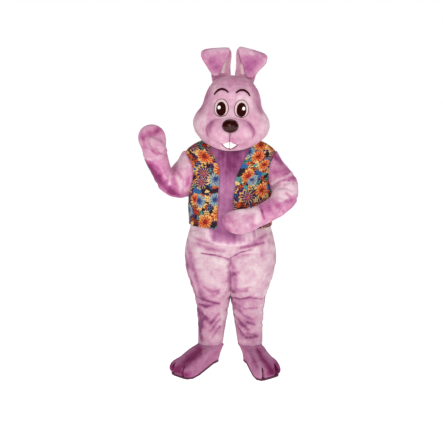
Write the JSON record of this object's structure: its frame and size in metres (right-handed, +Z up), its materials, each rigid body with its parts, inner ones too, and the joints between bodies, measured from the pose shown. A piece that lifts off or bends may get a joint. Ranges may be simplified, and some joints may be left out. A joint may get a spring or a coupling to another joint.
{
  "type": "rabbit mascot costume",
  "caption": "Hollow worn-pose rabbit mascot costume: plush suit, head with folded ears, mitts, shoe covers and an open printed vest.",
  "frame": {"origin": "between the wearer's shoulders, at the height where the suit hangs on them, 1.430 m above the soles", "axes": "+Z up, -Y the way the rabbit faces, +X towards the wearer's left"},
  "size_m": [0.9955, 0.5305, 2.0942],
  "materials": {
    "lilac_plush": "short-pile lilac-pink plush",
    "pale_plush": "paler lilac-pink plush",
    "mauve_plush": "short-nap mauve plush",
    "lining_plush": "cream-pink short plush",
    "printed_cotton": "printed cotton in orange, purple, blue and yellow",
    "brown_vinyl": "glossy dark brown",
    "white_felt": "warm white felt",
    "sole_rubber": "matt dark grey"
  },
  "bodies": {
    "root": {"back_left": "lilac_plush", "back_right": "lilac_plush", "belly_panel": "mauve_plush", "brow_left": "brown_vinyl", "brow_right": "brown_vinyl", "ear_left": "lilac_plush", "ear_lining_left": "lining_plush", "ear_lining_right": "lining_plush", "ear_right": "lilac_plush", "eye_white_left": "white_felt", "eye_white_right": "white_felt", "foot_left": "mauve_plush", "foot_right": "mauve_plush", "front_left": "lilac_plush", "front_right": "lilac_plush", "glint_left": "white_felt", "glint_right": "white_felt", "head_back": "lilac_plush", "head_crown": "lilac_plush", "head_face": "pale_plush", "leg_left_back": "lilac_plush", "leg_left_front": "lilac_plush", "leg_right_back": "lilac_plush", "leg_right_front": "lilac_plush", "mitt_left_back": "pale_plush", "mitt_left_palm": "pale_plush", "mitt_right_back": "pale_plush", "mitt_right_palm": "pale_plush", "muzzle": "pale_plush", "nose": "brown_vinyl", "pupil_left": "brown_vinyl", "pupil_right": "brown_vinyl", "sleeve_left_back": "lilac_plush", "sleeve_left_front": "lilac_plush", "sleeve_right_back": "lilac_plush", "sleeve_right_front": "lilac_plush", "sole_left": "sole_rubber", "sole_right": "sole_rubber", "thumb_left": "pale_plush", "thumb_right": "pale_plush", "tooth_left": "white_felt", "tooth_right": "white_felt", "vest_back": "printed_cotton", "vest_front_left": "printed_cotton", "vest_front_right": "printed_cotton"}
  },
  "joints": []
}
